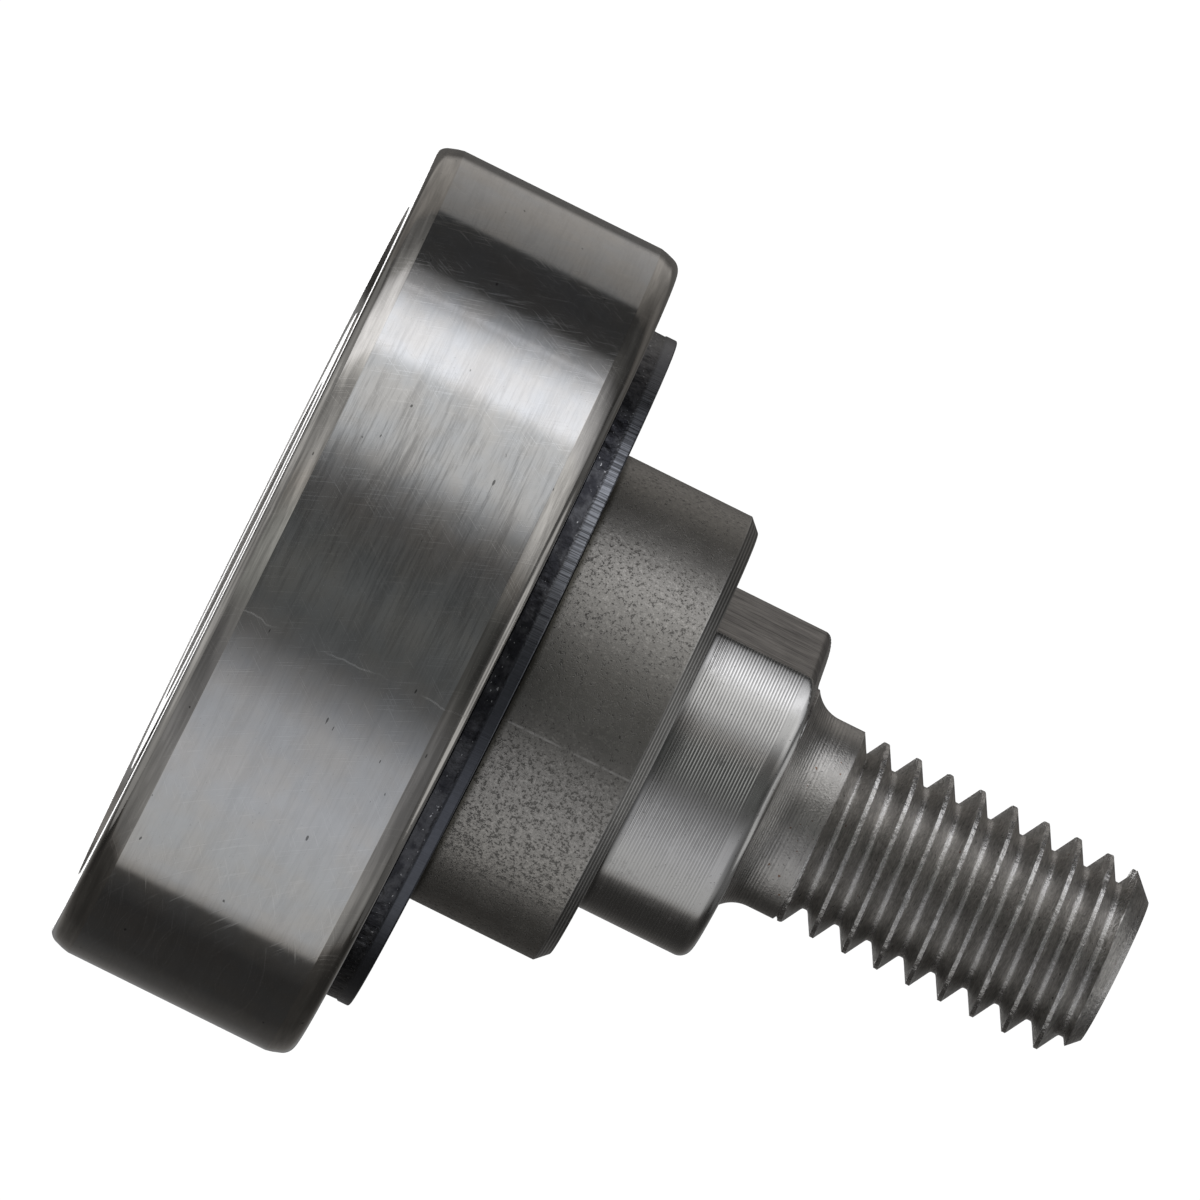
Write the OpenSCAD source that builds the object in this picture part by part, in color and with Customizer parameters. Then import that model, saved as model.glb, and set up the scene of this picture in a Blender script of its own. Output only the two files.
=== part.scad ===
// Stud-type cam follower: a sealed ball-bearing track roller carried on a threaded stud.
// Millimetres. +X runs along the stud towards its thread, +Z is the normal of the locating
// flat, and the origin is the centre of the collar's seat face.

/* [Roller] */
// Outside diameter of the roller ring
roller_d = 25; // [23.5:0.5:40]
// Width of the roller ring
roller_w = 7.55; // [7.1:0.05:12]
// Radius of the ring's rim corners
rim_r = 0.35; // [0.1:0.05:0.6]
// Axial length of the ground relief inside each rim corner
relief_l = 0.35; // [0.2:0.05:1]
// Radial depth of the ground relief
relief_h = 0.1; // [0.02:0.01:0.2]
// Chamfer at the mouth of each seal seat
mouth_edge = 0.15; // [0.05:0.05:0.2]
// Radial depth of the race groove in the outer ring
outer_groove_h = 0.536; // [0.3:0.002:0.7]

/* [Bearing] */
// Number of balls, which NODES also lists one by one
ball_count = 9; // [9:1:9]
// Ball diameter
ball_d = 3.572; // [2.8:0.001:4.3]
// Gap between neighbouring balls along the pitch circle
ball_gap = 2.362; // [2:0.001:3]
// Radial depth of the race groove in the inner ring
inner_groove_h = 0.436; // [0.3:0.002:0.7]
// Running clearance between a ball and each race
race_clear = 0.05; // [0.02:0.01:0.1]
// Race groove radius as a share of the ball diameter
conformity = 0.52; // [0.51:0.005:0.56]
// Edge chamfer of the inner ring
inner_edge = 0.3; // [0.1:0.05:0.4]
// Axial gap between the roller and the flange washer
side_gap = 0.05; // [0.05:0.01:0.3]

/* [Cage] */
// Thickness of the pressed cage halves
cage_t = 0.4; // [0.3:0.05:0.45]
// Clearance of a ball in its pocket
pocket_clear = 0.08; // [0.05:0.01:0.12]
// Radial clearance from the cage to either ring's land
cage_clear = 0.5; // [0.3:0.05:0.6]
// Diameter of the cage rivets
rivet_d = 0.7; // [0.5:0.05:0.9]
// Diameter of the rivet heads
rivet_head_d = 1.1; // [1:0.05:1.2]
// Height of a rivet head
rivet_head_h = 0.25; // [0.15:0.05:0.35]

/* [Seals] */
// How far each seal sits inside the ring's face
seal_recess = 0.2; // [0.1:0.05:0.3]
// Thickness of a seal
seal_t = 0.85; // [0.8:0.05:0.9]
// Radial step from the outer ring's land to the seal seat
seat_step = 0.625; // [0.4:0.005:0.8]
// Height of the snap bead on the seal's rim
bead_h = 0.2; // [0.1:0.05:0.3]
// Width of the snap bead
bead_w = 0.3; // [0.2:0.05:0.4]
// Depth of the bead below the seal's outer face
bead_depth = 0.3; // [0.2:0.05:0.4]
// Clearance between the seal lip and the inner ring
lip_clear = 0.1; // [0.05:0.01:0.2]
// Radial width of the flexible lip inside the steel core
lip_w = 0.65; // [0.4:0.05:0.8]
// Thickness of the lip
lip_t = 0.45; // [0.3:0.05:0.6]
// Rubber left inside the steel core's hole
lip_root = 0.2; // [0.1:0.05:0.3]
// Rubber left outside the steel core's rim
core_rim = 0.375; // [0.3:0.005:0.5]
// Rubber over the outer face of the steel core
core_cover = 0.45; // [0.3:0.05:0.5]
// Sheet thickness of the steel core
core_t = 0.25; // [0.2:0.05:0.3]

/* [Flange washer] */
// Thickness of the flange washer
washer_t = 0.8; // [0.5:0.05:1.5]
// How far the washer reaches past the seal seat
washer_over = 0; // [-0.5:0.05:0.4]
// Edge break of the washer's collar side
washer_edge = 0.06; // [0.02:0.01:0.15]

/* [Stud] */
// Diameter of the journal that carries the inner ring
journal_d = 9; // [8:0.1:11]
// Countersink in the inner ring that the stud's riveted end fills
rivet_end = 0.5; // [0.2:0.05:0.8]
// Width across the flats of the hex socket
hex_af = 4; // [3:0.5:5]
// Depth of the hex socket
hex_depth = 2.5; // [1.5:0.1:4]
// Angle of the drill point under the hex socket
drill_point = 118; // [90:1:140]
// Collar diameter
collar_d = 13.84; // [13:0.02:20]
// Collar length
collar_l = 4.4; // [3.6:0.1:8]
// Chamfer on the collar's washer side
collar_front_edge = 0.12; // [0.05:0.01:0.3]
// Chamfer on the collar's seat side
collar_edge = 0.35; // [0.1:0.05:0.4]
// Spigot diameter
spigot_d = 10.07; // [9.6:0.01:12.2]
// Spigot length
spigot_l = 3.5; // [2.9:0.1:8]
// Radius in the corner between the collar and the spigot
seat_r = 0.15; // [0.05:0.05:0.2]
// Radius of the spigot's end corner
spigot_r = 0.39; // [0.1:0.01:0.5]
// Height of the locating flat above the axis
flat_h = 4.5; // [4:0.05:4.7]
// Radius where the flat rolls off at the spigot's end
flat_end_r = 0.55; // [0.2:0.05:0.8]
// Radius of the fillet from the spigot to the neck
neck_r = 1; // [0.9:0.05:1.5]
// How far the fillet's circle starts inside the spigot's end
neck_sink = 0.136; // [0:0.002:0.3]
// Length from the spigot's end to the start of the thread
neck_l = 1.66; // [1:0.02:4]

/* [Thread] */
// Nominal thread diameter
thread_d = 6; // [5:0.1:7.4]
// Thread pitch, right-hand
pitch = 1; // [0.8:0.05:1.25]
// Threaded length
thread_l = 9.23; // [7.5:0.01:20]
// How much the crests stay under the nominal diameter
thread_allow = 0.17; // [0.05:0.01:0.25]
// Radial depth of the thread
thread_h = 0.632; // [0.45:0.002:0.8]
// Chamfer on the end of the stud
end_edge = 0.75; // [0.4:0.05:1]
// Distance from the thread's start to a crest above the axis
crest_at = 0.74; // [0:0.01:1]

/* [Hidden] */
$fn = 96;
// Cutting shapes reach this far past the faces that they open
over = 0.2;

// Stations along the axis, from the seat face
washer_x = -collar_l - washer_t;
ring_rear = washer_x - side_gap;
ring_front = ring_rear - roller_w;
mid = (ring_front + ring_rear) / 2;
thread_x = spigot_l + neck_l;
stud_end = thread_x + thread_l;

// Bearing radii, worked out from the balls
ball_r = ball_d / 2;
pitch_r = ball_count * (ball_d + ball_gap) / PI / 2;
inner_race = pitch_r - ball_r - race_clear;
outer_race = pitch_r + ball_r + race_clear;
inner_land = inner_race + race_clear + inner_groove_h;
outer_land = outer_race - race_clear - outer_groove_h;
race_r = ball_d * conformity;
seal_seat = outer_land + seat_step;
journal_r = journal_d / 2;

// Cage
pocket_r = ball_r + pocket_clear;
pocket_out = pocket_r + cage_t;
cage_in = inner_land + cage_clear;
cage_out = outer_land - cage_clear;

// Stations of the front seal, and the radii of its steel core
seal_front = ring_front + seal_recess;
seal_back = seal_front + seal_t;
bead_x = seal_front + bead_depth;
core_x = seal_front + core_cover;
lip_r = inner_land + lip_clear;
core_in = lip_r + lip_w;
core_out = seal_seat - core_rim;

// The neck is the blank that the thread is cut in
blank_r = (thread_d - thread_allow) / 2;
fillet_x = spigot_l + neck_r - neck_sink;
// Crests stay this far under the neck, and the thread's core starts this far inside it
crest_drop = 0.006;
lead_in = 0.1;
thread_from = thread_x - lead_in;
crest_r = blank_r - crest_drop;
root_r = blank_r - thread_h;
flank = tan(30);
crest_w = pitch / 8;
// Edges of the crest and of the root along one pitch, and facets round one turn
thread_edges = [
    -crest_w / 2,
    crest_w / 2,
    crest_w / 2 + thread_h * flank,
    pitch - crest_w / 2 - thread_h * flank
];
turn_edges = len(thread_edges);
turn_steps = 36;

// Turns a section drawn as [radius, station] about the X axis
module turned() {
    rotate([0, 90, 0]) rotate_extrude() children();
}

// Section of a tube between two radii and two stations, given in either order
module band(r_in, r_out, from, to) {
    translate([r_in, min(from, to)]) square([r_out - r_in, abs(to - from)]);
}

// What a 45 degree chamfer takes off a corner whose metal lies towards dir
module chamfer(at, size, dir) {
    polygon([
        [at[0] - dir[0] * over, at[1] - dir[1] * over],
        [at[0] + dir[0] * (size + over), at[1] - dir[1] * over],
        [at[0] - dir[0] * over, at[1] + dir[1] * (size + over)]
    ]);
}

// What a rounding takes off a corner whose metal lies towards dir
module rounding(at, size, dir) {
    difference() {
        translate(at + dir * (size - over) / 2) square(size + over, center = true);
        translate(at + dir * size) circle(size);
    }
}

// Places children on the pitch circle, at ball number k
module at_ball(k) {
    rotate([360 / ball_count * (k - 1), 0, 0]) translate([mid, 0, pitch_r]) children();
}

// Makes the rear piece from a front one
module rear_copy() {
    translate([2 * mid, 0, 0]) mirror([1, 0, 0]) children();
}

// Stud: journal, collar, spigot, neck and thread in one piece
module stud_section() {
    difference() {
        union() {
            band(0, journal_r, ring_front, -collar_l + over);
            polygon([
                [0, ring_front],
                [journal_r + rivet_end, ring_front],
                [journal_r, ring_front + rivet_end],
                [0, ring_front + rivet_end]
            ]);
            band(0, collar_d / 2, -collar_l, 0);
            band(0, spigot_d / 2, -over, spigot_l);
            band(0, spigot_d / 2 + seat_r, -over, seat_r);
            neck_section();
        }
        chamfer([collar_d / 2, -collar_l], collar_front_edge, [-1, 1]);
        chamfer([collar_d / 2, 0], collar_edge, [-1, -1]);
        rounding([spigot_d / 2, spigot_l], spigot_r, [-1, -1]);
        translate([spigot_d / 2 + seat_r, seat_r]) circle(seat_r);
    }
}

module neck_section() {
    band(0, blank_r, spigot_l - over, thread_x);
    difference() {
        band(0, blank_r + neck_r, spigot_l - over, fillet_x);
        difference() {
            translate([blank_r + neck_r, fillet_x]) circle(neck_r);
            band(0, spigot_d, 0, spigot_l);
        }
    }
}

// What the locating flat takes off, rolled off at the spigot's end
module flat_cut() {
    translate([0, 0, flat_h]) rotate([90, 0, 0])
        linear_extrude(2 * spigot_d, center = true) union() {
            square([spigot_l + over, spigot_d]);
            rounding([spigot_l, 0], flat_end_r, [-1, -1]);
        }
}

module hex_socket() {
    translate([ring_front, 0, 0]) rotate([0, 90, 0]) {
        translate([0, 0, -over])
            cylinder(h = hex_depth + over, d = hex_af / cos(30), $fn = 6);
        translate([0, 0, hex_depth - over])
            cylinder(h = over, r = hex_af / 2);
        translate([0, 0, hex_depth])
            cylinder(h = hex_af / 2 / tan(drill_point / 2), r1 = hex_af / 2, r2 = 0);
    }
}

// Radius of the thread at station x and angle a: crests and flanks, the first groove
// growing out of the neck, and the chamfer on the end
function crest_gap(x, a) =
    let (u = (x - thread_x - crest_at) / pitch - (a - 90) / 360)
    abs(u - round(u)) * pitch - crest_w / 2;

function thread_r(x, a) = min(
    max(
        crest_r - max(0, crest_gap(x, a)) / flank,
        root_r,
        crest_r - max(0, x - thread_x) / flank
    ),
    crest_r - end_edge + stud_end - x
);

// Station of ring i of the thread at angle a: rings follow the right-hand helix
function ring_x(i, a) =
    thread_x + crest_at + thread_edges[i % turn_edges]
    + pitch * (floor(i / turn_edges) - 2 + (a - 90) / 360);

module thread() {
    rings = turn_edges * (ceil(thread_l / pitch) + 4);
    step = 360 / turn_steps;
    point = function (x, a) [x, thread_r(x, a) * cos(a), thread_r(x, a) * sin(a)];
    // Rings short of either end share the points of the end faces
    index = function (i, j)
        let (x = ring_x(i, j * step))
        x <= thread_from ? j : x >= stud_end ? turn_steps + j : (i + 2) * turn_steps + j;
    next = function (i, j) j + 1 < turn_steps ? index(i, j + 1) : index(i + turn_edges, 0);
    points = concat(
        [for (j = [0:turn_steps - 1]) point(thread_from, j * step)],
        [for (j = [0:turn_steps - 1]) point(stud_end, j * step)],
        [for (i = [0:rings]) for (j = [0:turn_steps - 1]) point(ring_x(i, j * step), j * step)]
    );
    sides = [
        for (i = [0:rings - 1]) for (j = [0:turn_steps - 1])
        let (a = index(i, j), b = next(i, j), c = next(i + 1, j), d = index(i + 1, j))
        for (f = [[a, d, c], [a, c, b]])
        if (f[0] != f[1] && f[1] != f[2] && f[2] != f[0]) f
    ];
    ends = [
        [for (j = [0:turn_steps - 1]) j],
        [for (j = [0:turn_steps - 1]) 2 * turn_steps - 1 - j]
    ];
    polyhedron(points, concat(sides, ends));
}

module stud() {
    color("#8c8b89") union() {
        difference() {
            turned() stud_section();
            flat_cut();
            hex_socket();
        }
        thread();
    }
}

module flange_washer() {
    washer_r = seal_seat + washer_over;
    color("#3c3e46") turned() difference() {
        band(journal_r, washer_r, washer_x, -collar_l);
        chamfer([washer_r, -collar_l], washer_edge, [-1, -1]);
    }
}

module inner_ring() {
    color("#c4c4c2") turned() difference() {
        band(journal_r, inner_land, ring_front, washer_x);
        translate([inner_race + race_r, mid]) circle(race_r);
        chamfer([journal_r, ring_front], rivet_end, [1, 1]);
        chamfer([inner_land, ring_front], inner_edge, [-1, 1]);
        chamfer([inner_land, washer_x], inner_edge, [-1, -1]);
    }
}

// Rim of the outer ring at one face, and the seal seat inside it
module ring_end(face, dir) {
    rim = roller_d / 2;
    foot = rim - relief_h;
    rounding([foot, face], rim_r, [-1, dir]);
    polygon([
        [rim + over, face - dir * over],
        [foot, face - dir * over],
        [foot, face + dir * rim_r],
        [rim, face + dir * (rim_r + relief_l)],
        [rim + over, face + dir * (rim_r + relief_l)]
    ]);
    chamfer([seal_seat, face], mouth_edge, [1, dir]);
    band(0, seal_seat, face - dir * over, face + dir * (seal_recess + seal_t));
    groove = face + dir * (seal_recess + bead_depth);
    band(0, seal_seat + bead_h, groove, groove + dir * bead_w);
}

module outer_ring() {
    color("#b9b9b7") turned() difference() {
        band(outer_land, roller_d / 2, ring_front, ring_rear);
        ring_end(ring_front, 1);
        ring_end(ring_rear, -1);
        translate([outer_race - race_r, mid]) circle(race_r);
    }
}

// Rubber of a seal, with its snap bead, lip and the recess for the steel core
module seal_lip() {
    color("#1d1d1f") turned() difference() {
        union() {
            band(lip_r, seal_seat, seal_front, seal_back);
            band(lip_r, seal_seat + bead_h, bead_x, bead_x + bead_w);
        }
        band(core_in, core_out, core_x, seal_back + over);
        band(0, core_in - lip_root, seal_front + lip_t, seal_back + over);
    }
}

module seal_core() {
    color("#9a9a96") turned() union() {
        band(core_in, core_out, core_x, core_x + core_t);
        band(core_out - core_t, core_out, core_x, seal_back);
    }
}

module front_seal_lip() {
    seal_lip();
}

module front_seal_core() {
    seal_core();
}

module rear_seal_lip() {
    rear_copy() seal_lip();
}

module rear_seal_core() {
    rear_copy() seal_core();
}

// Drills or rounds a pocket of radius r along the ball's own radius of the bearing
module pocket(k, r) {
    at_ball(k) cylinder(h = 2 * pocket_out, r = r, center = true);
}

// Pressed ribbon that arches over each ball
module cage_half() {
    color("#a8a294") difference() {
        intersection() {
            turned() band(cage_in, cage_out, mid - 2 * pocket_out, mid);
            union() {
                turned() band(cage_in - over, cage_out + over, mid - cage_t, mid + over);
                for (k = [1:ball_count]) pocket(k, pocket_out);
            }
        }
        for (k = [1:ball_count]) pocket(k, pocket_r);
        for (k = [1:ball_count]) at_ball(k + 0.5) rotate([0, 90, 0])
            cylinder(h = 4 * cage_t, d = rivet_d, center = true);
    }
}

module cage_front_half() {
    cage_half();
}

module cage_rear_half() {
    rear_copy() cage_half();
}

module cage_rivets() {
    color("#8f8f8b") for (k = [1:ball_count]) at_ball(k + 0.5) rotate([0, 90, 0]) {
        cylinder(h = 2 * cage_t, d = rivet_d, center = true);
        for (side = [0, 1]) mirror([0, 0, side]) translate([0, 0, cage_t])
            cylinder(h = rivet_head_h, d1 = rivet_head_d, d2 = rivet_d);
    }
}

module ball(k) {
    color("#d6d6d6") at_ball(k) sphere(ball_r);
}

stud();
flange_washer();
inner_ring();
outer_ring();
front_seal_lip();
front_seal_core();
rear_seal_lip();
rear_seal_core();
cage_front_half();
cage_rear_half();
cage_rivets();
for (k = [1:ball_count]) ball(k);
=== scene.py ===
import math

import bpy
import numpy as np
from mathutils import Matrix, Vector, noise


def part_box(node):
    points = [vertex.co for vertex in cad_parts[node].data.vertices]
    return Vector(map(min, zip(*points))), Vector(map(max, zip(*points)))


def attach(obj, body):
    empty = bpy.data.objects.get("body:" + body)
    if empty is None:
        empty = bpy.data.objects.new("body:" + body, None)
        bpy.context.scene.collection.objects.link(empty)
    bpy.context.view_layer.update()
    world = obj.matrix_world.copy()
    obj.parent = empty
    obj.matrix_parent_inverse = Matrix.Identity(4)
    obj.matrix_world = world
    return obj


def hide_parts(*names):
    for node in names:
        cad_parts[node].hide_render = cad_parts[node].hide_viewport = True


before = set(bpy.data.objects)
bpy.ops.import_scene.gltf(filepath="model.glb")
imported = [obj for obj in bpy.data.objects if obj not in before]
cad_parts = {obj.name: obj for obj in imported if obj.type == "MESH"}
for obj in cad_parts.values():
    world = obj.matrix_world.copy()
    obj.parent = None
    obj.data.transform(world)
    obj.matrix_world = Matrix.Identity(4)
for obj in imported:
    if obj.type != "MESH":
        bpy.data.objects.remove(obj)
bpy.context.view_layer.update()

# Lengths in this script are millimetres until a mesh, light or camera is made.
MM = 0.001
# Direction of the camera round the stud, in degrees from +Y towards +Z. A finish measures its
# places round the stud from there, downwards.
camera_side = 162.55

# ---------------------------------------------------------------------------------------
# Sizes, from the CAD frame where it holds them
# ---------------------------------------------------------------------------------------


def span(node):
    """First and last station of a CAD node along X, and its largest radius."""
    low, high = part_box(node)
    return low.x / MM, high.x / MM, high.z / MM


ring_front, ring_rear, ring_r = span("outer_ring")
washer_front, washer_rear, washer_r = span("flange_washer")
inner_front, inner_rear, land_r = span("inner_ring")
stud_front, stud_end, collar_r = span("stud")
middle = (ring_front + ring_rear) / 2

# Stud: riveted front end and its hexagon socket
journal_r = 4.5
rivet_cone = 0.5
hex_across = 4.0
hex_depth = 2.5
hex_point = hex_across / 2 / math.tan(math.radians(59))
hex_mouth = 0.15
hex_bevel = 0.5
end_sink = 0.02

# Stud: collar, eccentric spigot with its flat, neck
collar_front_edge = 0.12
collar_edge = 0.35
seat_fillet = 0.15
spigot_r = 5.035
spigot_end = 3.5
spigot_corner = 0.39
flat_height = 4.5
flat_roll_x = 0.54
flat_roll_z = 2.5
# How softly the flat's cut runs into the round of the spigot
flat_ease = 0.025
neck_r = 2.915
neck_fillet = 1.0
fillet_x = 4.364
face_foot_r = neck_r + neck_fillet - math.sqrt(neck_fillet**2 - (fillet_x - spigot_end) ** 2)
thread_x = 5.16

# Stud: thread, with the burrs, bruises and bent last crest that turning leaves
pitch = 1.0
crest_r = 2.909
root_r = 2.283
crest_w = 0.12
crest_x = thread_x + 0.74
end_chamfer = 0.75
flank = math.tan(math.radians(30))
root_round = 0.022
burr_h = 0.035
bruise_h = 0.10
end_lip_h = 0.12
end_lip_back = 0.14

# Roller ring: rounded rims, worn shoulders, seal seats, races
rim_r = 0.4
shoulder_l = 0.70
tread_half = (ring_rear - ring_front) / 2 - shoulder_l
shoulder_knee = 0.5
knee_h = 0.043
knee_r = 1.0
rim_h = 0.215
fine_edge = 0.02
seal_seat_r = 10.375
shoulder_r = 9.75
seal_recess = 0.2
seal_t = 0.85
bead_h = 0.2
bead_w = 0.3
bead_depth = 0.3
mouth = 0.15
race_r = 1.857
outer_race_r = 10.336
inner_race_r = 6.664
inner_edge = 0.3
inner_face_edge = 0.1

# Seals: rubber lip over a steel core
lip_r = 7.25
lip_w = 0.65
lip_from = 0.15
lip_to = 0.42
core_rim = 0.375
core_cover = 0.45
core_back = 0.2
dish_h = 0.12
ridge_h = 0.03

# Flange washer: sheared rim with a torn step
washer_tear = 0.42
washer_shear = 0.02
washer_edge = 0.06

# ---------------------------------------------------------------------------------------
# Profiles: lists of (station, radius)
# ---------------------------------------------------------------------------------------


def outline(corners, closed=False, arc_step=12):
    """Corners given as (x, r, fillet) become points, each fillet an arc."""
    points = []
    count = len(corners)
    for k, (x, r, fillet) in enumerate(corners):
        here = np.array([x, r], float)
        if fillet <= 0 or (not closed and k in (0, count - 1)):
            points.append(here)
            continue
        before = np.array(corners[k - 1][:2], float) - here
        after = np.array(corners[(k + 1) % count][:2], float) - here
        u, v = before / np.linalg.norm(before), after / np.linalg.norm(after)
        half = math.acos(np.clip(u @ v, -1, 1)) / 2
        reach = fillet / math.tan(half)
        centre = here + (u + v) / np.linalg.norm(u + v) * fillet / math.sin(half)
        start, end = here + u * reach - centre, here + v * reach - centre
        turn = math.atan2(start[0] * end[1] - start[1] * end[0], start @ end)
        steps = max(2, math.ceil(abs(math.degrees(turn)) / arc_step))
        for i in range(steps + 1):
            c, s = math.cos(turn * i / steps), math.sin(turn * i / steps)
            points.append(centre + np.array([c * start[0] - s * start[1], s * start[0] + c * start[1]]))
    return points


def arc(x, r, radius, start, end, steps=24):
    """Corners on a circle about (x, r); angles in degrees from the +r direction towards +x."""
    return [
        (x + radius * math.sin(a), r + radius * math.cos(a), 0)
        for a in np.radians(np.linspace(start, end, steps))
    ]


def refine(points, step, closed=False):
    """Adds points so that no stretch is longer than step."""
    out = []
    last = len(points) if closed else len(points) - 1
    for k in range(last):
        a, b = points[k], points[(k + 1) % len(points)]
        parts = max(1, math.ceil(np.linalg.norm(b - a) / step))
        out += [a + (b - a) * i / parts for i in range(parts)]
    if not closed:
        out.append(points[-1])
    return out


# ---------------------------------------------------------------------------------------
# Meshes
# ---------------------------------------------------------------------------------------


def grid_faces(rows, columns, wrap_rows=False, first=0):
    """Quads of a grid whose columns close on themselves."""
    i = np.arange(rows if wrap_rows else rows - 1)
    j = np.arange(columns)
    i, j = (g.ravel() for g in np.meshgrid(i, j, indexing="ij"))
    ni, nj = (i + 1) % rows, (j + 1) % columns
    quads = np.stack([i * columns + j, i * columns + nj, ni * columns + nj, ni * columns + j], 1)
    return (quads + first).tolist()


def turned_points(x, r, angles):
    """Points of radius r at stations x; angles run from +Y towards +Z."""
    y, z = r * np.cos(angles), r * np.sin(angles)
    return np.stack([x, y, z], -1).reshape(-1, 3)


def make_mesh(name, points, faces, sharp=32):
    mesh = bpy.data.meshes.new(name)
    mesh.from_pydata((np.asarray(points) * MM).tolist(), [], faces)
    mesh.validate()
    mesh.shade_smooth()
    mesh.set_sharp_from_angle(angle=math.radians(sharp))
    piece = bpy.data.objects.new(name, mesh)
    bpy.context.scene.collection.objects.link(piece)
    return piece


def lathe(name, profile, columns=360, closed=False, shape=None, sharp=32):
    """Turns a profile about X. shape(x, r, angle) may change each point's station and radius."""
    angles = np.linspace(0, 2 * math.pi, columns, endpoint=False)
    x, a = np.meshgrid([p[0] for p in profile], angles, indexing="ij")
    r = np.meshgrid([p[1] for p in profile], angles, indexing="ij")[0]
    if shape:
        x, r = shape(x, r, a)
    points = turned_points(x, r, a)
    faces = grid_faces(len(profile), columns, wrap_rows=closed)
    if not closed:
        faces += [list(range(columns))[::-1], [(len(profile) - 1) * columns + j for j in range(columns)]]
    return make_mesh(name, points, faces, sharp)


def wobble(points, size, seed=0.0):
    """Smooth noise between -1 and 1 at each point, with features of about that size."""
    shift = Vector((seed, seed * 0.7, seed * 1.3))
    return np.array([noise.noise(Vector(p) / size + shift) for p in points.reshape(-1, 3)])


def ring_seat(face, way):
    """The ring's bore at one end, from the shoulder out to its face, in the order of way."""
    inner = face + way * (seal_recess + seal_t)
    groove = face + way * (seal_recess + bead_depth)
    corners = [
        (inner, shoulder_r, 0.05),
        (inner, seal_seat_r, fine_edge),
        (groove + way * bead_w, seal_seat_r, fine_edge),
        (groove + way * bead_w, seal_seat_r + bead_h, fine_edge),
        (groove, seal_seat_r + bead_h, fine_edge),
        (groove, seal_seat_r, fine_edge),
        (face + way * mouth, seal_seat_r, fine_edge),
        (face, seal_seat_r + mouth, fine_edge),
    ]
    return corners


def outer_ring():
    knee, rim = ring_r - knee_h, ring_r - rim_h
    race_x = outer_race_r - race_r
    bite = math.degrees(math.acos((shoulder_r - race_x) / race_r))
    corners = ring_seat(ring_front, 1) + [
        (ring_front, rim, rim_r),
        (ring_front + shoulder_knee, knee, knee_r),
        (ring_front + shoulder_l, ring_r, 0),
        (ring_rear - shoulder_l, ring_r, 0),
        (ring_rear - shoulder_knee, knee, knee_r),
        (ring_rear, rim, rim_r),
    ]
    corners += ring_seat(ring_rear, -1)[::-1] + arc(middle, race_x, race_r, bite, -bite)
    profile = refine(outline(corners, closed=True, arc_step=4), 0.4, closed=True)
    return lathe("ground_outer_ring", profile, columns=512, closed=True, sharp=7)


def inner_ring():
    race_x = inner_race_r + race_r
    bite = math.degrees(math.acos((race_x - land_r) / race_r))
    corners = [
        (inner_front + rivet_cone, journal_r, 0),
        (inner_front, journal_r + rivet_cone, fine_edge),
        (inner_front, land_r, inner_face_edge),
        *arc(middle, race_x, race_r, 180 + bite, 180 - bite),
        (inner_rear, land_r, inner_edge),
        (inner_rear, journal_r, 0.05),
    ]
    profile = refine(outline(corners, closed=True), 0.4, closed=True)
    return lathe("ground_inner_ring", profile, columns=360, closed=True)


def seal(name, face, way):
    """Rubber of a seal with its rim, moulded rings and lip; the steel core stays the CAD's."""
    front, back = face + way * seal_recess, face + way * (seal_recess + seal_t)
    bead = front + way * bead_depth
    core_in, core_out, core_x = lip_r + lip_w, seal_seat_r - core_rim, front + way * core_cover
    dish, ridge = front + way * dish_h, front + way * ridge_h
    corners = [
        (back, core_out, 0),
        (back, seal_seat_r, 0.03),
        (bead + way * bead_w, seal_seat_r, fine_edge),
        (bead + way * bead_w, seal_seat_r + bead_h, 0.05),
        (bead, seal_seat_r + bead_h, 0.05),
        (bead, seal_seat_r, fine_edge),
        (front, seal_seat_r, 0.1),
        (front, seal_seat_r - 0.4, 0.08),
        (dish, seal_seat_r - 0.6, 0.1),
        (dish, core_in + 0.35, 0.1),
        (ridge, core_in + 0.15, 0.1),
        (ridge, lip_r + 0.25, 0.08),
        (front + way * lip_from, lip_r, 0.05),
        (front + way * lip_to, lip_r, 0.05),
        (core_x, core_in - core_back, 0.03),
        (back, core_in - core_back, 0.03),
        (back, core_in, 0),
        (core_x, core_in, 0),
        (core_x, core_out, 0),
    ]
    if way > 0:
        corners = corners[::-1]
    return lathe(name, outline(corners, closed=True), columns=256, closed=True)


def washer():
    """Punched washer: burnished and square at the collar, torn and ragged at the ring."""
    tear = washer_front + washer_tear
    corners = [
        (washer_front, journal_r, 0),
        (washer_front, washer_r - washer_shear, 0.03),
        (tear, washer_r - 0.035, 0),
        (tear + 0.04, washer_r - 0.005, 0),
        (washer_rear, washer_r - 0.005, washer_edge),
        (washer_rear, journal_r, 0),
    ]
    profile = refine(outline(corners, closed=True), 0.06, closed=True)

    def rag(x, r, a):
        points = turned_points(x, r, a)
        edge = np.clip((r - washer_r + 0.3) / 0.25, 0, 1)
        torn = np.clip((tear - x) / 0.08, 0, 1) * edge
        lumps = wobble(points, 0.22, 3.0) * 0.6 + wobble(points, 0.09, 8.0) * 0.4
        sink = np.maximum(0, lumps.reshape(x.shape)) * 0.05
        return x, r - torn * sink

    return lathe("punched_washer", profile, columns=720, closed=True, shape=rag, sharp=50)


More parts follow.
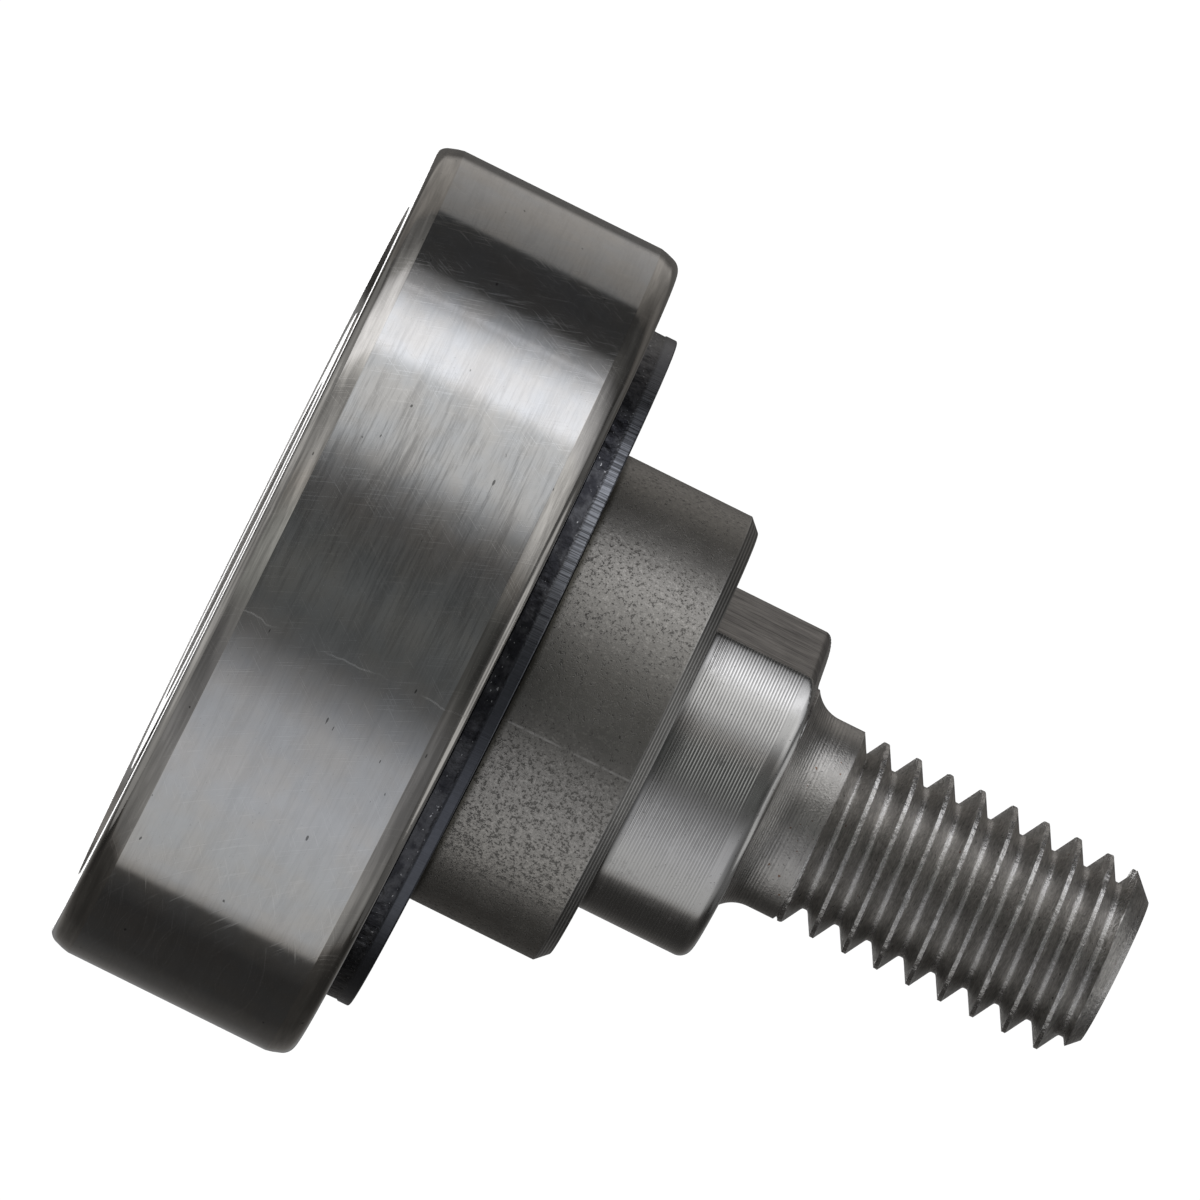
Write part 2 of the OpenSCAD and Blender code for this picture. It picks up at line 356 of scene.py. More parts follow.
def stud_profile():
    """Stations of the stud from the hex socket's bottom to the thread, as (x, r, hex share)."""
    hole = hex_across / 2
    socket = outline([
        (stud_front + hex_depth + hex_point, 0.001, 0),
        (stud_front + hex_depth, hole, 0),
    ])
    walls = outline([(stud_front + hex_depth, hole, 0), (stud_front + hex_mouth, hole, 0)])
    outside = outline([
        (stud_front + hex_mouth, hole + 0.32, 0),
        (stud_front + end_sink, hole + hex_bevel, 0.05),
        (stud_front + end_sink, journal_r + rivet_cone - 0.15, 0.1),
        (stud_front + 0.06, journal_r + rivet_cone - 0.02, 0.03),
        (stud_front + rivet_cone, journal_r, 0),
        (washer_rear, journal_r, fine_edge),
        (washer_rear, collar_r - collar_front_edge, fine_edge),
        (washer_rear + collar_front_edge, collar_r, 0.04),
        (-collar_edge, collar_r, 0.04),
        (0, collar_r - collar_edge, 0.05),
        (0, spigot_r, seat_fillet),
        (spigot_end, spigot_r, spigot_corner),
        (spigot_end, face_foot_r, 0.03),
    ], arc_step=8)
    start = math.degrees(math.asin((fillet_x - spigot_end) / neck_fillet))
    sweep = [p[:2] for p in arc(fillet_x, neck_r + neck_fillet, neck_fillet, 180 + start, 180, 16)]
    outside += [np.array(p) for p in sweep[1:]] + [np.array([thread_x, neck_r])]
    stations = [(*p, 0) for p in socket]
    stations += [(*p, 1) for p in refine(walls, 0.3)]
    stations += [(*p, 0) for p in refine(outside, 0.06)]
    return stations


def stud_points(columns=432):
    """The turned body of the stud, with its hex socket and its locating flat."""
    stations = np.array(stud_profile())
    flat_edge = math.acos(flat_height / spigot_r)
    angles = np.linspace(0, 2 * math.pi, columns, endpoint=False)
    for edge in (math.pi / 2 - flat_edge, math.pi / 2 + flat_edge):
        angles[np.argmin(abs(angles - edge))] = edge
    x, a = np.meshgrid(stations[:, 0], angles, indexing="ij")
    r = np.repeat(stations[:, 1:2], columns, 1)
    share = np.repeat(stations[:, 2:3], columns, 1)
    sixth = math.pi / 3
    hexagon = 1 / np.cos((a + sixth / 2) % sixth - sixth / 2)
    r = r * (1 + share * (hexagon - 1))
    # The flat rolls off along a quarter ellipse at the spigot's end
    past = np.clip((x - spigot_end + flat_roll_x) / flat_roll_x, 0, 1)
    height = flat_height - flat_roll_z * (1 - np.sqrt(1 - past**2))
    up = np.maximum(np.sin(a), 1e-6)
    on_spigot = (x > -0.001) & (x < spigot_end + 0.001) & (r < spigot_r + seat_fillet)
    level = np.minimum(height / up, 2 * spigot_r)
    eased = -np.logaddexp(-r / flat_ease, -level / flat_ease) * flat_ease
    cut = np.logaddexp(eased / flat_ease, face_foot_r / flat_ease) * flat_ease
    r = np.where(on_spigot & (r > face_foot_r), cut, r)
    points = turned_points(x, r, a)
    faces = grid_faces(len(stations), columns)
    faces += [list(range(columns))[::-1], [(len(stations) - 1) * columns + j for j in range(columns)]]
    return points, faces


def thread_points(columns=240):
    """Right-hand thread with its core, from just inside the neck to the chamfered end."""
    crest_edges = np.linspace(-crest_w / 2, crest_w / 2, 5)
    flank_w = (crest_r - root_r) * flank
    down = np.linspace(crest_w / 2, crest_w / 2 + flank_w, 12)[1:]
    root = np.linspace(crest_w / 2 + flank_w, pitch - crest_w / 2 - flank_w, 7)[1:]
    up = np.linspace(pitch - crest_w / 2 - flank_w, pitch - crest_w / 2, 12)[1:-1]
    turn = np.concatenate([crest_edges, down, root, up])
    per_turn = len(turn)
    first = thread_x - 0.1
    turns = math.ceil((stud_end - thread_x) / pitch) + 4
    base = crest_x + np.concatenate([turn + pitch * (k - 2) for k in range(turns)])
    angles = np.linspace(0, 2 * math.pi, columns, endpoint=False)
    raw, a = np.meshgrid(base, angles, indexing="ij")
    raw = raw + pitch * (a - math.pi / 2) / (2 * math.pi)
    x = np.clip(raw, first, stud_end)
    u = (x - crest_x) / pitch - (a - math.pi / 2) / (2 * math.pi)
    gap = abs(u - np.round(u)) * pitch - crest_w / 2
    groove = crest_r - np.maximum(0, gap) / flank
    # The root is rounded, the first groove grows out of the neck, and the end is chamfered
    groove = root_r + np.logaddexp(0, (groove - root_r) / root_round) * root_round
    cut = np.maximum(np.minimum(groove, crest_r), crest_r - np.maximum(0, x - thread_x) / flank)
    r = np.minimum(cut, crest_r - end_chamfer + stud_end - x)
    points = turned_points(x, r, a)
    on_crest = np.clip((r - crest_r + 0.05) / 0.05, 0, 1) * (x > thread_x + 0.05)
    burr = wobble(points, 0.16, 5.0) * 0.5 + wobble(points, 0.07, 11.0) * 0.5
    bruise = np.maximum(0, wobble(points, 0.5, 17.0) - 0.25)
    r = r + on_crest * (burr.reshape(r.shape) * burr_h - bruise.reshape(r.shape) * bruise_h)
    # Turning the chamfer leaves a ragged lip on the last crest, bent back over the thread
    edge = stud_end - end_chamfer
    near = np.clip(1 - abs(x - edge - 0.12) / 0.16, 0, 1) * np.clip((r - crest_r + 0.32) / 0.18, 0, 1)
    snag = np.array([noise.noise(Vector((math.cos(t), math.sin(t), 4.1)) * 3.0) for t in angles])
    lip = near * np.clip(0.55 + 1.4 * snag, 0.1, 1)
    r = np.minimum(r + end_lip_h * lip, neck_r)
    points = turned_points(x - end_lip_back * lip, r, a)
    return points, helix_faces(raw, first, per_turn)


def helix_faces(raw, first, per_turn):
    """Quads of the thread; rings past an end collapse onto it, and the seam is one turn on."""
    rows, columns = raw.shape

    def index(i, j):
        if raw[i, j] <= first:
            return start[j]
        return end[j] if raw[i, j] >= stud_end else i * columns + j

    start = [max(i for i in range(rows) if raw[i, j] <= first) * columns + j for j in range(columns)]
    end = [min(i for i in range(rows) if raw[i, j] >= stud_end) * columns + j for j in range(columns)]
    faces = []
    for i in range(rows - per_turn - 1):
        for j in range(columns):
            if j + 1 < columns:
                corners = [index(i, j), index(i, j + 1), index(i + 1, j + 1), index(i + 1, j)]
            else:
                near, far = i + per_turn, i + per_turn + 1
                corners = [index(i, j), index(near, 0), index(far, 0), index(i + 1, j)]
            kept = list(dict.fromkeys(corners))
            if len(kept) > 2:
                faces.append(kept)
    return faces + [start[::-1], end]


def without_loose(points, faces):
    """Drops the points that no face uses."""
    used = sorted({v for f in faces for v in f})
    place = {v: k for k, v in enumerate(used)}
    return points[used], [[place[v] for v in f] for f in faces]


def stud():
    body, body_faces = stud_points()
    thread, thread_faces = without_loose(*thread_points())
    shift = len(body)
    thread_faces = [[v + shift for v in f] for f in thread_faces]
    piece = make_mesh("turned_stud", np.concatenate([body, thread]), body_faces + thread_faces, sharp=40)
    return piece, len(body_faces)


# ---------------------------------------------------------------------------------------
# Materials
# ---------------------------------------------------------------------------------------


class Finish:
    """A material's node tree. Its methods add nodes and give back what comes out of them."""

    def __init__(self, name, metallic=1.0):
        self.material = bpy.data.materials.new(name)
        self.material.use_nodes = True
        self.tree = self.material.node_tree
        self.bsdf = self.tree.nodes["Principled BSDF"]
        self.bsdf.inputs["Metallic"].default_value = metallic
        where = self.tree.nodes.new("ShaderNodeTexCoord").outputs["Object"]
        self.place = self.vector("MULTIPLY", where, (1 / MM, 1 / MM, 1 / MM))
        parts = self.add("ShaderNodeSeparateXYZ", [self.place])
        self.x, self.y, self.z = parts.outputs
        self.r = self.vector("LENGTH", self.vector("MULTIPLY", self.place, (0, 1, 1)))
        side = math.radians(camera_side)
        ahead = self.vector("DOT_PRODUCT", self.place, (0, math.cos(side), math.sin(side)))
        down = self.vector("DOT_PRODUCT", self.place, (0, -math.sin(side), math.cos(side)))
        self.turn = self.math("DEGREES", self.math("ARCTAN2", down, ahead))

    def add(self, kind, values=(), **settings):
        node = self.tree.nodes.new(kind)
        for key, value in settings.items():
            setattr(node, key, value)
        for socket, value in zip(node.inputs, values):
            if isinstance(value, bpy.types.NodeSocket):
                self.tree.links.new(value, socket)
            elif value is not None:
                socket.default_value = value
        return node

    def math(self, operation, *values):
        return self.add("ShaderNodeMath", values, operation=operation).outputs[0]

    def vector(self, operation, *values):
        node = self.add("ShaderNodeVectorMath", values, operation=operation)
        return node.outputs["Value" if operation in ("LENGTH", "DOT_PRODUCT") else "Vector"]

    def times(self, *values):
        out = values[0]
        for value in values[1:]:
            out = self.math("MULTIPLY", out, value)
        return out

    def noise(self, sizes, detail=2.0, rough=0.5, seed=0.0):
        """Noise from 0 to 1 whose features are about sizes mm along x, y and z."""
        per_size, start = tuple(1 / s for s in sizes), (seed, seed * 2, seed * 3)
        grid = self.vector("MULTIPLY_ADD", self.place, per_size, start)
        node = self.add("ShaderNodeTexNoise", [grid], noise_dimensions="3D")
        node.inputs["Scale"].default_value = 1.0
        node.inputs["Detail"].default_value = detail
        node.inputs["Roughness"].default_value = rough
        return node.outputs[0]

    def rise(self, value, start, end):
        """0 below start and 1 above end, smooth between them; falls where end is below start."""
        low, high, outs = (start, end, (0.0, 1.0)) if start < end else (end, start, (1.0, 0.0))
        node = self.add("ShaderNodeMapRange", [value, low, high, *outs], interpolation_type="SMOOTHSTEP")
        return node.outputs[0]

    def spread(self, value, low, high):
        """A 0 to 1 value spread from low to high."""
        return self.math("MULTIPLY_ADD", value, high - low, low)

    def window(self, value, start, end, soft):
        """1 between start and end, 0 outside, with soft edges."""
        after = self.rise(value, start - soft, start + soft)
        return self.times(after, self.rise(value, end + soft, end - soft))

    def scratches(self, length, width, amount, seed, turn=0.0):
        """Thin short lines, 1 on a line, lying across x by that turn in degrees."""
        c, s = math.cos(math.radians(turn)), math.sin(math.radians(turn))
        along = self.math("MULTIPLY_ADD", self.x, s, self.math("MULTIPLY", self.y, c))
        along = self.math("MULTIPLY_ADD", self.z, c, along)
        across = self.math("MULTIPLY_ADD", self.x, c, self.math("MULTIPLY", self.y, -s))
        across = self.math("MULTIPLY_ADD", self.z, -s, across)
        grid = self.add("ShaderNodeCombineXYZ", [
            self.math("MULTIPLY", across, 1 / width), self.math("MULTIPLY", along, 1 / length), seed])
        node = self.add("ShaderNodeTexNoise", [grid.outputs[0]], noise_dimensions="3D")
        node.inputs["Scale"].default_value = 1.0
        node.inputs["Detail"].default_value = 1.0
        return self.rise(node.outputs[0], amount, amount + 0.06)

    def mix(self, amount, first, second):
        """Colours blended; amount 1 gives the second."""
        node = self.add("ShaderNodeMix", data_type="RGBA")
        self.tree.links.new(amount, node.inputs["Factor"])
        for socket, value in ((node.inputs[6], first), (node.inputs[7], second)):
            if isinstance(value, bpy.types.NodeSocket):
                self.tree.links.new(value, socket)
            else:
                socket.default_value = (*value, 1.0)
        return node.outputs[2]

    def shade(self, colour, value):
        """A colour multiplied by a value."""
        grey = self.add("ShaderNodeCombineXYZ", [value, value, value]).outputs[0]
        if not isinstance(colour, bpy.types.NodeSocket):
            colour = tuple(colour)
        return self.vector("MULTIPLY", grey, colour)

    def finish(self, colour, roughness, height=None, depth=0.001):
        """Sets the colour, the roughness and a bump of depth mm; returns the material."""
        self.tree.links.new(colour, self.bsdf.inputs["Base Color"])
        self.tree.links.new(roughness, self.bsdf.inputs["Roughness"])
        if height is not None:
            bump = self.tree.nodes.new("ShaderNodeBump")
            bump.inputs["Distance"].default_value = depth * MM
            self.tree.links.new(height, bump.inputs["Height"])
            self.tree.links.new(bump.outputs[0], self.bsdf.inputs["Normal"])
        return self.material


warm_steel = (0.61, 0.60, 0.585)
cool_steel = (0.58, 0.59, 0.60)


def tread_finish():
    """Ground and hardened ring: streaks round it, darkened as painted shade in a band near the side facing
    the camera, faint swirled scratches and one pale line near that side that is a painted reflection.
    """
    f = Finish("ground_tread_steel")
    fine = f.noise((0.09, 1.6, 1.6), 5.0, 0.72, 1.0)
    broad = f.noise((0.45, 5.0, 5.0), 2.0, 0.5, 4.0)
    blotch = f.noise((1.6, 1.6, 1.6), 3.0, 0.6, 9.0)
    speck = f.rise(f.noise((0.06, 0.06, 0.06), 1.0, 0.5, 13.0), 0.72, 0.80)
    tick = f.rise(f.noise((0.12, 0.3, 0.3), 0.0, 0.5, 21.0), 0.86, 0.88)
    swirl = f.math("MAXIMUM", f.scratches(1.5, 0.04, 0.64, 3.0, 62), f.scratches(1.2, 0.04, 0.65, 7.0, -48))
    # Painted reflection: a pale line along the ring a few degrees below the side facing the camera, with a
    # little more roughness on it.
    wave = f.math("MULTIPLY_ADD", f.noise((0.9, 50.0, 50.0), 2.0, 0.6, 31.0), 2.2, 6.4)
    painted_reflection_line = f.rise(f.math("ABSOLUTE", f.math("SUBTRACT", f.turn, wave)), 0.2, 0.04)
    painted_reflection_line = f.times(painted_reflection_line, f.rise(f.noise((1.4, 60.0, 60.0), 1.0, 0.5, 17.0), 0.42, 0.6))
    # Painted shade: the streaks are darkened in colour only in a band round the ring near the side facing
    # the camera. The streaks themselves are real grinding marks, and the band also sets their bump.
    worn_and_shaded = f.spread(f.window(f.turn, -30.0, 3.0, 9.0), 0.22, 1.0)
    streak = f.times(f.rise(f.math("ADD", fine, f.spread(broad, -0.24, 0.24)), 0.40, 0.68), worn_and_shaded)
    cloud = f.noise((0.35, 0.6, 0.6), 4.0, 0.65, 29.0)
    tone = f.math("ADD", f.spread(streak, 1.07, 0.70), f.spread(blotch, -0.05, 0.05))
    tone = f.math("ADD", tone, f.spread(cloud, -0.07, 0.07))
    tone = f.times(tone, f.spread(speck, 1.0, 0.8), f.spread(tick, 1.0, 0.35))
    tone = f.math("ADD", tone, f.times(swirl, 0.09))
    colour = f.shade(f.mix(f.rise(blotch, 0.35, 0.65), warm_steel, cool_steel), tone)
    colour = f.mix(f.times(painted_reflection_line, 0.16), colour, (0.95, 0.95, 0.93))
    off_middle = f.math("ABSOLUTE", f.math("SUBTRACT", f.x, middle))
    shoulder = f.rise(off_middle, tread_half - 0.03, tread_half + 0.01)
    brown = f.spread(f.rise(f.noise((0.25, 4.0, 4.0), 3.0, 0.6, 37.0), 0.36, 0.64), 0.74, 1.10)
    colour = f.mix(shoulder, colour, f.shade((0.575, 0.555, 0.525), f.math("MULTIPLY", tone, brown)))
    rough = f.math("ADD", f.spread(streak, 0.075, 0.16), f.times(swirl, 0.07))
    rough = f.math("ADD", rough, f.spread(cloud, -0.03, 0.05))
    rough = f.math("ADD", rough, f.times(painted_reflection_line, 0.2))
    height = f.math("ADD", f.times(fine, worn_and_shaded), f.times(swirl, 0.4))
    return f.finish(colour, rough, height, 0.0008)


def ring_face_finish(name):
    """Ground side faces and bores of the bearing rings."""
    f = Finish(name)
    lay = f.noise((0.8, 0.8, 0.8), 3.0, 0.6, 5.0)
    across, along = f.math("MULTIPLY", f.r, 12.0), f.math("MULTIPLY", f.x, 12.0)
    stretched = f.add("ShaderNodeCombineXYZ", [across, along, f.math("MULTIPLY", f.turn, 0.01)])
    turned = f.add("ShaderNodeTexNoise", [stretched.outputs[0]])
    turned.inputs["Scale"].default_value = 1.0
    turned.inputs["Detail"].default_value = 3.0
    fine = turned.outputs[0]
    speck = f.rise(f.noise((0.1, 0.1, 0.1), 1.0, 0.5, 2.0), 0.70, 0.78)
    tone = f.math("MULTIPLY", f.spread(fine, 0.85, 1.12), f.spread(speck, 1.0, 0.7))
    colour = f.shade(f.mix(lay, warm_steel, (0.66, 0.64, 0.62)), tone)
    return f.finish(colour, f.spread(fine, 0.10, 0.20), fine, 0.0008)


def collar_finish():
    """Tumbled collar: soft grey with dark pits, an oiled band by the washer and a pale line along it that is
    a painted reflection; its colour is painted lighter below the side facing the camera and darker above.
    """
    f = Finish("tumbled_collar_steel")
    grain = f.noise((0.055, 0.055, 0.055), 2.0, 0.7, 6.0)
    lumps = f.noise((0.13, 0.13, 0.13), 2.0, 0.6, 36.0)
    clumps = f.noise((0.7, 0.7, 0.7), 3.0, 0.6, 16.0)
    # Painted light and shade: below the side facing the camera the collar's colour is painted lighter, above
    # it darker; this mask also adds a few more pits below.
    below = f.rise(f.turn, 8.0, 14.0)
    wide = f.math("ADD", f.times(grain, 0.5), f.times(lumps, 0.5))
    wide = f.math("ADD", wide, f.spread(clumps, -0.06, 0.06))
    pit = f.rise(f.math("ADD", wide, f.times(below, 0.02)), 0.53, 0.64)
    bright = f.rise(wide, 0.47, 0.36)
    scar = f.rise(f.noise((0.2, 0.12, 0.12), 1.0, 0.5, 27.0), 0.76, 0.80)
    # Painted reflection: a pale broken line along the collar, about 10 degrees below the side facing the
    # camera.
    line = f.rise(f.math("ABSOLUTE", f.math("SUBTRACT", f.turn, 10.0)), 0.40, 0.1)
    line = f.times(line, f.rise(f.noise((0.5, 9.0, 9.0), 2.0, 0.6, 12.0), 0.35, 0.6))
    oil = f.rise(f.x, washer_rear + 0.34, washer_rear + 0.16)
    cut = f.rise(f.x, -collar_edge - 0.06, -collar_edge + 0.02)
    lines = f.rise(f.math("SINE", f.math("MULTIPLY", f.math("SUBTRACT", f.x, f.r), 36.0)), -0.3, 0.7)
    seat = f.rise(f.x, -0.04, -0.01)
    lines = f.math("MULTIPLY_ADD", lines, f.spread(seat, 1.0, 0.3), f.times(seat, 0.45))
    tone = f.times(f.spread(pit, 1.0, 0.54), f.spread(scar, 1.0, 0.5), f.spread(clumps, 0.82, 1.14))
    tone = f.math("ADD", tone, f.times(bright, 0.34))
    tone = f.math("MULTIPLY", tone, f.spread(below, 0.90, 1.16))
    colour = f.shade((0.374, 0.361, 0.339), tone)
    colour = f.mix(f.times(line, 0.5), colour, (0.9, 0.88, 0.85))
    colour = f.mix(f.times(oil, 0.8), colour, (0.06, 0.055, 0.04))
    colour = f.mix(f.times(cut, 0.9), colour, f.shade((0.40, 0.395, 0.385), f.spread(lines, 0.45, 1.25)))
    rough = f.math("ADD", f.spread(clumps, 0.30, 0.40), f.times(pit, 0.12))
    height = f.math("SUBTRACT", f.times(wide, 1.2), f.times(pit, 0.6))
    height = f.math("ADD", f.times(height, f.spread(cut, 1.0, 0.1)), f.times(lines, cut, 0.5))
    return f.finish(colour, rough, height, 0.010)


def spigot_finish():
    """Bright turned spigot: a fine tool groove whose light and dark colour bands are painted light and
    shade, strongest above and fading below, and finer lines near its end.
    """
    f = Finish("turned_spigot_steel")
    feed = 0.09
    wander = f.noise((1.5, 1.0, 1.0), 2.0, 0.5, 8.0)
    phase = f.math("MULTIPLY_ADD", f.x, 2 * math.pi / feed, f.times(wander, 1.2))
    groove = f.math("SINE", phase)
    main = f.window(f.x, 0.2, 2.85, 0.08)
    # Painted light and shade: the real tool groove's light and dark colour bands are strongest on the upper
    # side, where the light shows them, and fainter below. The same share also sets the groove's bump.
    groove_lit_share = f.spread(f.rise(f.math("ABSOLUTE", f.math("ADD", f.turn, 45.0)), 95.0, 40.0), 0.30, 1.0)
    patch = f.rise(f.noise((0.5, 0.8, 0.8), 4.0, 0.7, 19.0), 0.15, 0.50)
    groove = f.times(groove, main, groove_lit_share, patch)
    lines = f.noise((0.035, 2.0, 2.0), 3.0, 0.7, 3.0)
    speck = f.rise(f.noise((0.07, 0.07, 0.07), 1.0, 0.5, 14.0), 0.70, 0.76)
    smear = f.rise(f.noise((0.35, 0.6, 0.6), 5.0, 0.75, 47.0), 0.50, 0.80)
    seat = f.rise(f.x, 0.28, 0.14)
    tone = f.math("ADD", f.spread(lines, 0.82, 1.14), f.times(groove, 0.34))
    tone = f.times(tone, f.spread(speck, 1.0, 0.6), f.spread(smear, 1.0, 0.88), f.spread(seat, 1.0, 0.6))
    colour = f.shade((0.64, 0.635, 0.625), tone)
    height = f.math("ADD", f.times(groove, 0.9), f.times(lines, 0.5))
    rough = f.math("ADD", f.spread(lines, 0.10, 0.26), f.times(smear, 0.12))
    return f.finish(colour, rough, height, 0.004)


def flat_finish():
    """Milled locating flat, brushed along the stud."""
    f = Finish("milled_flat_steel")
    brush = f.noise((1.3, 0.09, 1.0), 3.0, 0.7, 2.0)
    coarse = f.noise((1.2, 0.3, 1.0), 2.0, 0.6, 12.0)
    speck = f.rise(f.noise((0.1, 0.1, 0.1), 1.0, 0.5, 4.0), 0.68, 0.75)
    tone = f.math("ADD", f.spread(f.rise(brush, 0.32, 0.68), 0.45, 1.25), f.spread(coarse, -0.5, 0.5))
    colour = f.shade((0.33, 0.315, 0.305), f.math("MULTIPLY", tone, f.spread(speck, 1.0, 0.6)))
    return f.finish(colour, f.spread(brush, 0.25, 0.45), brush, 0.010)


def neck_finish():
    """Turned neck and spigot face: fine lines, a matte grain and a few rust-brown specks."""
    f = Finish("turned_neck_steel")
    lead = 0.11
    lines = f.noise((0.045, 2.0, 2.0), 3.0, 0.7, 5.0)
    feed = f.math("SINE", f.math("MULTIPLY", f.math("SUBTRACT", f.x, f.r), 2 * math.pi / lead))
    feed = f.times(feed, f.rise(f.x, fillet_x + 0.5, fillet_x - 0.1))
    grain = f.noise((0.06, 0.06, 0.06), 2.0, 0.6, 15.0)
    rust = f.rise(f.noise((0.14, 0.14, 0.14), 1.0, 0.5, 33.0), 0.74, 0.78)
    pit = f.rise(grain, 0.62, 0.72)
    dull = f.noise((0.5, 0.5, 0.5), 2.0, 0.5, 3.0)
    tone = f.times(f.spread(lines, 0.55, 1.3), f.spread(dull, 0.72, 1.2), f.spread(pit, 1.0, 0.5))
    tone = f.math("ADD", tone, f.times(feed, 0.14))
    colour = f.mix(f.times(rust, 0.8), f.shade((0.58, 0.565, 0.545), tone), (0.20, 0.09, 0.04))
    height = f.math("ADD", f.math("ADD", lines, f.times(grain, 1.5)), f.times(feed, 0.3))
    return f.finish(colour, f.math("ADD", f.spread(lines, 0.22, 0.38), f.times(pit, 0.1)), height, 0.009)


def thread_finish():
    """Cut thread: dull torn flanks, bright broken crests, a painted highlight along the roots, and a rough
    bright chamfer edge.
    """
    f = Finish("cut_thread_steel")
    tear = f.noise((0.05, 0.35, 0.35), 3.0, 0.7, 2.0)
    grain = f.noise((0.09, 0.09, 0.09), 2.0, 0.6, 23.0)
    stain = f.noise((0.35, 0.35, 0.35), 3.0, 0.6, 7.0)
    pit = f.rise(f.noise((0.12, 0.12, 0.12), 1.0, 0.5, 52.0), 0.70, 0.78)
    rust = f.rise(f.noise((0.16, 0.16, 0.16), 1.0, 0.5, 61.0), 0.76, 0.80)
    worn_and_shaded = f.rise(f.noise((0.3, 0.25, 0.25), 2.0, 0.6, 71.0), 0.30, 0.62)
    crest = f.times(f.rise(f.r, crest_r - 0.09, crest_r - 0.02), f.spread(worn_and_shaded, 0.25, 1.0))
    # Painted highlight: the roots get the bright colour at a share of 0.6. The crests and the chamfer edge
    # are clean bright metal.
    root = f.rise(f.r, root_r + 0.08, root_r + 0.02)
    edge = stud_end - end_chamfer
    chip = f.rise(f.noise((0.1, 0.14, 0.14), 1.0, 0.5, 81.0), 0.44, 0.56)
    chamfer = f.times(f.window(f.x, edge - 0.04, edge + 0.16, 0.05), chip)
    bright = f.math("MAXIMUM", f.math("MAXIMUM", crest, f.times(root, 0.6)), chamfer)
    tone = f.times(f.spread(tear, 0.35, 1.6), f.spread(stain, 0.55, 1.42), f.spread(pit, 1.0, 0.3))
    rings = f.noise((0.02, 2.0, 2.0), 3.0, 0.75, 91.0)
    tone = f.math("MULTIPLY", tone, f.spread(rings, 0.55, 1.45))
    dull = f.shade((0.53, 0.515, 0.495), f.math("MULTIPLY", tone, f.spread(grain, 0.62, 1.38)))
    dull = f.mix(f.times(rust, 0.75), dull, (0.20, 0.06, 0.03))
    bright_metal_and_root_highlight = f.shade((0.72, 0.71, 0.70), f.spread(tear, 0.7, 1.2))
    rough = f.math("SUBTRACT", f.spread(tear, 0.24, 0.42), f.times(bright, 0.10))
    height = f.math("ADD", tear, f.times(grain, 0.8))
    return f.finish(f.mix(bright, dull, bright_metal_and_root_highlight), rough, height, 0.022)


def washer_finish():
    """Blued washer whose edge is burnished on the collar's side, with a painted sheen of lighter stripes on
    its upper side, and torn black on the ring's.
    """
    f = Finish("blued_washer_steel")
    rim = f.rise(f.r, washer_r - 0.16, washer_r - 0.08)
    ragged = f.math("ADD", f.x, f.spread(f.noise((9.0, 0.25, 0.25), 3.0, 0.7, 5.0), -0.07, 0.07))
    front_half = f.rise(ragged, washer_front + 0.47, washer_front + 0.39)
    strip = f.noise((2.5, 0.05, 0.05), 2.0, 0.6, 3.0)
    # Painted sheen: the burnished edge gets lighter stripes only on its upper side, near the side facing the
    # camera; elsewhere it stays plain blue.
    sheen_side = f.window(f.turn, -60.0, -9.0, 12.0)
    lump = f.noise((0.12, 0.12, 0.12), 2.0, 0.6, 8.0)
    patch = f.noise((0.5, 0.7, 0.7), 3.0, 0.6, 18.0)
    fleck = f.rise(f.noise((0.07, 0.12, 0.12), 1.0, 0.5, 41.0), 0.71, 0.76)
    striped_painted_sheen = f.shade((0.22, 0.23, 0.255), f.spread(f.rise(strip, 0.36, 0.64), 0.4, 1.5))
    plain = f.shade((0.12, 0.127, 0.148), f.spread(strip, 0.8, 1.2))
    burnished = f.mix(sheen_side, plain, striped_painted_sheen)
    black = f.shade((0.045, 0.046, 0.054), f.spread(lump, 0.5, 1.5))
    torn = f.mix(f.rise(patch, 0.42, 0.62), black, f.shade((0.10, 0.102, 0.112), f.spread(lump, 0.5, 1.6)))
    torn = f.mix(f.times(fleck, 0.75), torn, (0.70, 0.71, 0.74))
    blue = f.shade((0.125, 0.132, 0.158), f.spread(f.noise((0.4, 0.4, 0.4), 3.0, 0.6, 2.0), 0.7, 1.3))
    colour = f.mix(rim, blue, f.mix(front_half, burnished, torn))
    rough = f.math("ADD", f.spread(lump, 0.16, 0.34), f.times(patch, 0.12))
    height = f.math("ADD", f.times(lump, front_half), f.times(strip, 0.25))
    return f.finish(colour, rough, height, 0.012)


def front_finish():
    """Stud's riveted end and hex socket: rolled steel with faint forming rings, and walls painted darker
    deeper into the socket as painted shade.
    """
    f = Finish("riveted_end_steel")
    grain = f.noise((0.12, 0.12, 0.12), 2.0, 0.6, 3.0)
    wander = f.times(f.noise((1.5, 1.5, 1.5), 2.0, 0.5, 7.0), 4.0)
    rings = f.math("SINE", f.math("MULTIPLY_ADD", f.r, 26.0, wander))
    # Painted shade: the socket's walls darken towards its bottom.
    socket_shade = f.rise(f.x, stud_front + 0.2, stud_front + 1.6)
    tone = f.times(f.spread(grain, 0.75, 1.15), f.spread(socket_shade, 1.0, 0.55))
    colour = f.shade((0.44, 0.42, 0.40), tone)
    height = f.math("MULTIPLY_ADD", rings, 0.15, grain)
    return f.finish(colour, f.spread(grain, 0.46, 0.6), height, 0.006)


